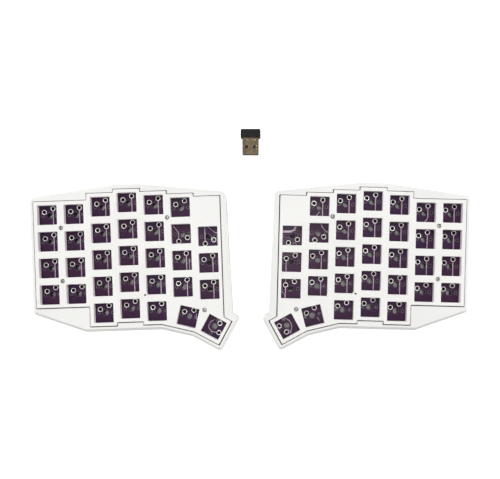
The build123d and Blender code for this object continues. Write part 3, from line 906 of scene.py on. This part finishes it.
def rim_profile(inner, width):
    """A thin flat ring on the board, sunk a little into it."""
    rise, edge = 0.02, 0.03
    outer = inner + width
    low, top = BOARD_TOP - rise, BOARD_TOP + rise
    return (inner, low), (inner + edge, top), (outer - edge, top), (outer, low)


def lacquer_rims(name, side, place):
    """Thin raised rims of lacquer round the side holes and the stem holes."""
    side_rim = rim_profile(SIDE_HOLE_RADIUS + 0.04, 0.3)
    stem_rim = rim_profile(STEM_HOLE_RADIUS + 0.1, 0.16)
    mesh = bmesh.new()
    for site in key_sites(side).values():
        for out in SIDE_HOLES:
            lathe(mesh, side_rim, *at_switch(site, out, 0), closed=True, steps=20)
        lathe(mesh, stem_rim, *site[:2], closed=True, steps=32)
    piece = made(f"{name}_lacquer_rims", mesh, [RIM_LACQUER], place, weighted=False)
    return piece


def socket_collars(name, side, place):
    """Black collars of the sockets inside the pin holes, with their springs."""
    bore, outer, top = 0.8, 1.3, BOARD_TOP - 0.3
    spring_bore, spring_outer, spring_top = 0.62, 0.79, BOARD_TOP - 1.2
    low = BOARD_LOW
    collar = ((bore, low), (bore, top - 0.15), (bore + 0.12, top), (outer - 0.06, top), (outer, top - 0.08),
              (outer, low))
    spring = ((spring_bore, low), (spring_bore, spring_top - 0.1), (spring_bore + 0.08, spring_top),
              (spring_outer, spring_top), (spring_outer, low))
    mesh = bmesh.new()
    for site in key_sites(side).values():
        for pin in PINS:
            spot = at_switch(site, *pin)
            lathe(mesh, collar, *spot, steps=20, closed=True)
            lathe(mesh, spring, *spot, steps=12, closed=True, slot=1)
    piece = made(f"{name}_socket_collars", mesh, [SOCKET_PLASTIC, SPRING_METAL], place)
    return piece


def track(mesh, points, width):
    """A raised copper track along a line of points."""
    rise, shoulder, sunk, edge = 0.035, 0.02, 0.01, 0.05
    left, right = [], []
    for i, here in enumerate(points):
        before = Vector(points[max(i - 1, 0)])
        after = Vector(points[min(i + 1, len(points) - 1)])
        along = (after - before).normalized()
        out = Vector((-along.y, along.x)) * width / 2
        left.append((here[0] + out.x, here[1] + out.y))
        right.append((here[0] - out.x, here[1] - out.y))
    rings = [(BOARD_TOP + rise, edge), (BOARD_TOP + shoulder, 0), (BOARD_TOP - sunk, 0)]
    carved(mesh, [(left + right[::-1], False, rings, 0)])


# Column tracks start clear of a pin's ring. Some run on past their key, and some sites have none
TRACK_WIDTH = 0.62
TRACK_CLEAR = 1.7
LONG_TRACK_END = -8.6
LONG_TRACK_SITES = ((5, 3), (6, 3))
BARE_SITES = {"left": ((5, 0),), "right": ((1, 0), (6, 2), (6, 3))}

# Tracks that wander: site, points from the middle of its key, width
WANDERING_TRACKS = {
    "left": (
        ((5, 1), ((-2.54, -3.3), (-2.54, 0.4), (-3.4, 2.2), (-4.0, 3.2), (-6.4, 6.6)), 0.45),
        ((6, 1), ((-2.54, -3.3), (-2.54, 9.0)), 0.5),
        ((6, 1), ((-1.0, 7.6), (4.6, 2.9), (7.4, 2.2)), 0.35),
        ((6, 1), ((2.2, 0.5), (2.2, -1.4), (4.6, -3.9)), 0.35),
        ((5, 2), ((4.6, 1.0), (4.6, -8.0)), 0.4),
        (("thumb", 0), ((5.4, 1.4), (5.4, -3.0)), 0.3),
        (("thumb", 1), ((0.6, 5.2), (-2.6, 3.4), (-4.0, 0.9), (-3.9, -1.2), (-2.2, -3.2), (0.9, -4.6)), 0.4),
    ),
    "right": (
        ((1, 0), ((2.54, 3.38), (2.54, -2.6), (2.04, -4.6), (0.54, -6.2), (-0.66, -8.0)), TRACK_WIDTH),
        ((5, 0), ((0.4, -3.6), (-1.2, -5.4), (-2.6, -7.6)), 0.5),
        ((5, 1), ((1.6, 7.6), (2.2, 5.2), (4.4, 2.2), (7.6, 0.4)), 0.45),
        ((6, 1), ((-7.6, 2.9), (-1.4, 3.1), (1.6, 4.4), (2.6, 7.6)), 1.5),
        ((6, 1), ((0.4, -6.0), (2.2, -4.6), (4.2, -7.8)), 0.35),
        ((6, 2), ((-3.81, 0.8), (-3.81, -14.6)), 0.5),
        ((6, 3), ((-3.81, 0.8), (-3.81, -8.4)), 0.5),
        ((6, 3), ((-6.4, -2.2), (-4.4, -4.4), (-4.2, -8.0)), 0.35),
        (("thumb", 0), ((3.6, -1.6), (5.2, -3.6)), 0.3),
        (("thumb", 1), ((-2.0, 5.6), (1.4, 4.0), (3.2, 1.0), (3.4, -2.0), (2.0, -5.6)), 0.45),
    ),
}


def tracks(name, side, place):
    """Column tracks from each key to the next one in front of it, and the few that wander."""
    mesh = bmesh.new()
    sites = key_sites(side)
    for key, site in sites.items():
        column, row = key
        if column == "thumb" or key in TURNED_SITES or key in BARE_SITES[name]:
            continue
        x, y = at_switch(site, *PIN_B)
        if (column, row + 1) in sites:
            end = sites[column, row + 1][1] + PIN_B[1] + TRACK_CLEAR
        elif key in LONG_TRACK_SITES:
            end = site[1] + LONG_TRACK_END
        else:
            continue
        track(mesh, [(x, y - TRACK_CLEAR), (x, end)], TRACK_WIDTH)
    for key, points, width in WANDERING_TRACKS[name]:
        site = sites[key]
        track(mesh, [(site[0] + x, site[1] + y) for x, y in points], width)
    piece = made(f"{name}_tracks", mesh, [TRACK], place, weighted=False)
    return piece


def screw_mesh():
    """One domed crosshead screw with its thread, upright, with 0 under its head."""
    head = [(0, 1.15), (0.4, 1.13), (0.8, 1.06), (1.1, 0.94), (1.3, 0.76), (1.4, 0.5), (1.42, 0.12),
            (1.36, 0.0), (1.0, 0.0)]
    crest, root, point, length = 1.0, 0.84, 0.6, 8.0
    thread_start, thread_pitch, thread_turns = 0.6, 0.4, 19
    cross_half, cross_end, cross_wide = 0.2, 0.4, 0.86
    cross_low, cross_top = 0.35, 1.6
    profile = head + [(crest, -thread_pitch)]
    for i in range(thread_turns):
        z = -thread_start - i * thread_pitch
        profile += [(root, z), (crest, z - thread_pitch / 2)]
    profile += [(point, -length), (0, -length)]
    blank = bmesh.new()
    lathe(blank, profile, 0, 0, steps=40)
    cutter = bmesh.new()
    for turn in (0, 90):
        levels = []
        for z, reach in ((cross_top, cross_wide), (cross_low, cross_end)):
            corners = [(x * reach, y * cross_half) for x, y in ((1, 1), (-1, 1), (-1, -1), (1, -1))]
            levels.append(ring(cutter, [turned(*corner, turn) for corner in corners], z))
        wall(cutter, *levels)
        cap(cutter, levels[:1])
        cap(cutter, levels[1:])
    screw = made("screw_blank", blank, [], weighted=False)
    cross = made("cross_cutter", cutter, [], weighted=False)
    cut = screw.modifiers.new("cross", "BOOLEAN")
    cut.operation = "DIFFERENCE"
    cut.object = cross
    cut.solver = "EXACT"
    cut.use_self = True
    bpy.context.view_layer.update()
    depsgraph = bpy.context.evaluated_depsgraph_get()
    one = bpy.data.meshes.new_from_object(screw.evaluated_get(depsgraph))
    for spare in (screw, cross):
        bpy.data.objects.remove(spare)
    return one


def plate_screws(name, side, place):
    """Small crosshead screws, each turned to an angle of its own."""
    first_turn, next_turn, side_turn = 17, 41, 23
    one = screw_mesh()
    mesh = bmesh.new()
    for i, (x, y) in enumerate(screw_spots(side)):
        angle = math.radians(first_turn + next_turn * i + side_turn * side)
        seat = Matrix.Translation((x * MM, y * MM, SCREW_SEAT_Z * MM)) @ Matrix.Rotation(angle, 4, "Z")
        spare = one.copy()
        spare.transform(seat)
        mesh.from_mesh(spare)
        bpy.data.meshes.remove(spare)
    piece = made(f"{name}_crosshead_screws", mesh, [SCREW_METAL], place, smooth_under=35, weighted=False)
    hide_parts(f"{name}_plate_screws")
    return piece


def local_span(node, place):
    """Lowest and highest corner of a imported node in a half's own frame, in millimetres."""
    back = place.inverted()
    points = [back @ vertex.co / MM for vertex in nodes[node].data.vertices]
    return (Vector([reach(point[i] for point in points) for i in range(3)]) for reach in (min, max))


def port_contacts(name, _side, place):
    """Gold strips on both faces of the port's tongue, the same on both sides."""
    count, pitch, width, corner = 12, 0.5, 0.28, 0.05
    long_ones, long_reach, short_reach = (0, 3, 8, 11), 2.9, 2.5
    nose, proud = 0.35, 0.02
    low, high = local_span(f"{name}_usb_tongue", place)
    middle = (low.x + high.x) / 2
    mesh = bmesh.new()
    for i in range(count):
        x = middle + (i - (count - 1) / 2) * pitch
        reach = long_reach if i in long_ones else short_reach
        strip = square_at(x, high.y - nose - reach / 2, width, reach, 0, corner)
        for z in (low.z, high.z):
            carved(mesh, [(strip, False, [(z + proud, 0), (z - proud, 0)], 0)])
    piece = made(f"{name}_port_contacts", mesh, [GOLD], place, weighted=False)
    return piece


def ridged_slider(name, place):
    """The power switch's slider, with upright ridges on its end."""
    ridge, ridge_pitch, lowered = 0.22, 0.55, 0.03
    foot_start, crest_start, crest_end, foot_end = 0.12, 0.42, 0.62, 0.92
    edge, inset = 0.06, 0.05
    low, high = local_span(f"{name}_power_slider", place)
    width = high.x - low.x
    teeth = max(3, round(width / ridge_pitch))
    pitch = width / teeth
    loop = [(low.x, low.y), (high.x, low.y)]
    for i in reversed(range(teeth)):
        x = low.x + i * pitch
        loop += [(x + pitch * foot_end, high.y - lowered), (x + pitch * crest_end, high.y),
                 (x + pitch * crest_start, high.y), (x + pitch * foot_start, high.y - ridge)]
    rings = [(high.z, inset), (high.z - edge, 0), (low.z + edge, 0), (low.z, inset)]
    mesh = bmesh.new()
    carved(mesh, [(loop, False, rings, 0)])
    piece = made(f"{name}_ridged_slider", mesh, [SLIDER_PLASTIC], place, smooth_under=20, weighted=False)
    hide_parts(f"{name}_power_slider")
    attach(piece, f"{name}_power_slider")
    return piece


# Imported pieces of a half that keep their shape: finish, and width of the softened edges in millimetres
SOFTENED = {
    "case": (WHITE_CASE, 0.3),
    "plate_gasket": (FOAM, 0.08),
    "usb_shell": (PORT_METAL, 0.1),
    "usb_tongue": (PORT_PLASTIC, 0.06),
    "radio_module": (MODULE_BOARD, 0.05),
    "radio_shield": (SHIELD_METAL, 0.15),
    "battery": (BATTERY_PAINTED_DARK, 0.5),
    "power_switch": (SWITCH_METAL, 0.06),
    "reset_switch": (RESET_METAL, 0.06),
    "reset_plunger": (RESET_BUTTON, 0.06),
    "rubber_pads": (RUBBER, 0.5),
    "switch_sockets": (SOCKET_PLASTIC, 0.12),
    "diodes": (DIODE_BODY, 0.08),
}


# What a half is dressed with. One loop calls all of these, so each takes a name, a side and a place
BUILDERS = (key_plate, wiring_board, ring_pads, lacquer_rims, socket_collars, tracks, plate_screws,
            port_contacts)


def half(name, side):
    place = half_place(name, side)
    body = f"{name}_half"
    for build in BUILDERS:
        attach(build(name, side, place), body)
    ridged_slider(name, place)
    for node, (finish, width) in SOFTENED.items():
        softened(f"{name}_{node}", finish, width)


# Pieces of the receiver


def span(node):
    """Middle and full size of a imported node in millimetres."""
    low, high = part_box(node)
    return (low + high) / 2 / MM, (high - low) / MM


def along_plug(middle, front):
    """From a mesh with its upward axis along the plug, 0 at the grip's front face, to the desk."""
    place = Matrix.Translation((middle.x * MM, front * MM, middle.z * MM))
    return place @ Matrix.Rotation(math.pi / 2, 4, "X")


def receiver_grip():
    """Black grip with a crowned rear, a socket for the plug and a raised pad on each broad side."""
    grip_corner, front_edge, rear_edge, crown_steps = 1.3, 0.22, 0.75, 4
    socket_gap, socket_corner, socket_flare, socket_depth = 0.06, 0.45, 0.12, 5.7
    pad_proud, pad_sunk, pad_edge, pad_corner = 0.14, 0.2, 0.12, 0.9
    pad_from_front, pad_narrower, pad_shorter = 0.15, 3.2, 2.1
    middle, size = span("receiver_cap")
    _, plug = span("receiver_shell")
    front = middle.y - size.y / 2
    mesh = bmesh.new()
    outline = anticlockwise(square_at(0, 0, size.x, size.z - 2 * pad_proud, 0, grip_corner))
    socket = anticlockwise(square_at(0, 0, plug.x + socket_gap, plug.z + socket_gap, 0, socket_corner))
    body_rings = soft_rings(-size.y, 0, front_edge, rear_edge, crown_steps)
    body = [ring(mesh, grown(outline, -inset), d) for d, inset in body_rings]
    socket_rings = ((0, socket_flare), (-socket_flare, 0), (-socket_depth, 0))
    opening = [ring(mesh, grown(socket, spread), d) for d, spread in socket_rings]
    for levels in (body, opening):
        for upper, lower in zip(levels, levels[1:]):
            wall(mesh, upper, lower)
    cap(mesh, [body[0], opening[0]])
    cap(mesh, [body[-1]])
    cap(mesh, [opening[-1]])
    piece = made("receiver_grip", mesh, [GRIP_PLASTIC], along_plug(middle, front))
    pads = bmesh.new()
    pad_width, pad_length = size.x - pad_narrower, size.y - pad_shorter
    pad = square_at(0.0, size.y / 2 - pad_from_front, pad_width, pad_length, 0, pad_corner)
    face, thick = size.z / 2, pad_proud + pad_sunk
    carved(pads, [(pad, False, soft_rings(face - thick, face, pad_edge, 0), 0)])
    carved(pads, [(pad, False, soft_rings(-face, thick - face, 0, pad_edge), 0)])
    place = Matrix.Translation((middle.x * MM, front * MM, middle.z * MM))
    raised = made("receiver_grip_pads", pads, [GRIP_PLASTIC], place)
    raised.parent = piece
    return piece


# Shallow stamped ramps in the plug's broad sides, deepest towards its mouth: middle x, start, length, width.
# Starts count from the grip's front face. The lower side has only those that start past its bare length
RAMPS = ((-1.8, 1.4, 1.1, 0.85), (1.7, 1.4, 1.1, 0.85), (3.3, 1.4, 1.1, 0.85),
         (-1.3, 5.95, 2.1, 0.6), (4.3, 5.95, 2.1, 0.6), (1.3, 6.2, 1.7, 0.5))
RAMP_SLOPE = 0.14
BARE_BELOW = 4.0

# Latch windows, and the plug's sheet
WINDOW_SIZE = (2.3, 2.1)
WINDOW_X = 2.8
WINDOW_FROM_MOUTH = 5.2
SHEET_THICK = 0.28
SHEET_BEND = 0.42
SHEET_EDGE = 0.05
SEAM_HALF = 0.05
LIP_LENGTH = 0.3
ALONG_STEP = 0.16


def pressed(x, d):
    """How far the plug's sheet is pressed in at a place on its broad sides."""
    for middle, start, length, width in RAMPS:
        if abs(x - middle) <= width / 2 and start <= d <= start + length:
            return RAMP_SLOPE * (d - start)
    return 0.0


def stepped(marks, step):
    """Values between marks, evenly spaced and no further apart than a step."""
    values = [marks[0]]
    for a, b in zip(marks, marks[1:]):
        count = max(1, math.ceil(abs(b - a) / step - 1e-6))
        values += [a + (b - a) * i / count for i in range(1, count + 1)]
    return values


def ramp_side(number, way):
    """Where the outer or inner side of a ramp lies across the plug."""
    middle, _, _, width = RAMPS[number]
    return middle + way * width / 2


def plug_path(size, marks):
    """Points round the plug from one side of its seam to the other: x, z and whether on the upper side."""
    across_step, side_step, bend_steps = 0.17, 0.6, 5
    w, h, bend = size.x / 2, size.z / 2, SHEET_BEND
    turns = [math.pi / 2 * i / bend_steps for i in range(1, bend_steps + 1)]
    right = [(x, -h, False) for x in stepped(marks, across_step)]
    right += [(w - bend + bend * math.sin(t), -h + bend - bend * math.cos(t), False) for t in turns]
    right += [(w, z, False) for z in stepped([-h + bend, h - bend], side_step)[1:]]
    right += [(w - bend + bend * math.cos(t), h - bend + bend * math.sin(t), False) for t in turns]
    right += [(x, h, True) for x in reversed(stepped([0.0] + marks[1:], across_step))][1:]
    return right + [(-x, z, upper) for x, z, upper in reversed(right[:-1])]


def plug_sheet():
    """One folded sheet of steel round the plug, with a seam below, latch windows and stamped ramps."""
    middle, size = span("receiver_shell")
    cap_middle, cap_size = span("receiver_cap")
    front = cap_middle.y - cap_size.y / 2
    mouth = front - (middle.y - size.y / 2)
    window_d = mouth - WINDOW_FROM_MOUTH
    h = size.z / 2
    inner, outer = WINDOW_X - WINDOW_SIZE[0] / 2, WINDOW_X + WINDOW_SIZE[0] / 2
    path = plug_path(size, [SEAM_HALF, ramp_side(5, -1), inner, ramp_side(1, 1), outer, ramp_side(4, 1),
                            size.x / 2 - SHEET_BEND])
    window_edges = [window_d - WINDOW_SIZE[1] / 2, window_d + WINDOW_SIZE[1] / 2]
    rear = front - (middle.y + size.y / 2)
    ramp_start, ramp_length = RAMPS[0][1:3]
    along_marks = [rear, ramp_start, ramp_start + ramp_length, *window_edges, mouth - LIP_LENGTH, mouth]
    rows = stepped(along_marks, ALONG_STEP)
    mesh = bmesh.new()
    grid = []
    for d in rows:
        line = []
        for x, z, upper in path:
            depth = pressed(x, d) if abs(z) == h and (upper or d > BARE_BELOW) else 0.0
            line.append(mesh.verts.new((x * MM, (z - math.copysign(depth, z)) * MM, d * MM)))
        grid.append(line)
    for i, (row, after) in enumerate(zip(grid, grid[1:])):
        d = (rows[i] + rows[i + 1]) / 2
        for j in range(len(path) - 1):
            x = abs(path[j][0] + path[j + 1][0]) / 2
            flat = abs(path[j][1]) == h and abs(path[j + 1][1]) == h
            if flat and inner < x < outer and window_edges[0] < d < window_edges[1]:
                continue
            mesh.faces.new((row[j], row[j + 1], after[j + 1], after[j]))
    faces_outward(mesh)
    place = along_plug(middle, front)
    piece = made("receiver_plug_sheet", mesh, [PLUG_METAL], place, smooth_under=60, weighted=False)
    sheet = piece.modifiers.new("sheet_thickness", "SOLIDIFY")
    sheet.thickness = SHEET_THICK * MM
    sheet.offset = -1.0
    sheet.use_even_offset = False
    bevelled(piece, SHEET_EDGE, 60, even_light=True)
    return piece


def faces_outward(mesh):
    """Turns an open tube's faces outward from its axis."""
    mesh.normal_update()
    for face in mesh.faces:
        centre = face.calc_center_median()
        if face.normal.x * centre.x + face.normal.y * centre.y < 0:
            face.normal_flip()


def plug_strips():
    """Four gold strips with rolled noses at the front of the plug's tongue, and their tails on the board."""
    count, width, front_length, tail_length = 4, 1.0, 2.3, 2.0
    middle, size = span("receiver_contacts")
    rear, front = middle.y + size.y / 2, middle.y - size.y / 2
    low, high = middle.z - size.z / 2, middle.z + size.z / 2
    pitch = (size.x - width) / (count - 1)
    mesh = bmesh.new()
    for i in range(count):
        x = middle.x + (i - (count - 1) / 2) * pitch
        for start, end in ((front, front + front_length), (rear - tail_length, rear)):
            line = [(start, low - 0.05), (start + 0.12, low + 0.1), (start + 0.35, high), (end - 0.3, high),
                    (end - 0.05, low + 0.04), (end, low - 0.05)]
            rings = [[mesh.verts.new((edge * MM, y * MM, z * MM)) for y, z in line]
                     for edge in (x - width / 2, x + width / 2)]
            for loop in rings:
                mesh.faces.new(loop)
            wall(mesh, *rings)
    piece = made("receiver_contact_strips", mesh, [GOLD], smooth_under=35, weighted=False)
    bevelled(piece, 0.03, 30)
    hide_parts("receiver_contacts")
    return piece


def receiver():
    grip = receiver_grip()
    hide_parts("receiver_cap")
    sheet = plug_sheet()
    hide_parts("receiver_shell")
    for piece in (grip, sheet, plug_strips()):
        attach(piece, "receiver")
    softened("receiver_insert", PLUG_PLASTIC, 0.08)
    softened("receiver_board", RECEIVER_BOARD, 0.05)


camera()
floor()
world()
for softbox in SOFTBOXES:
    lamp(*softbox)
for half_name, half_side in HALVES:
    half(half_name, half_side)
receiver()
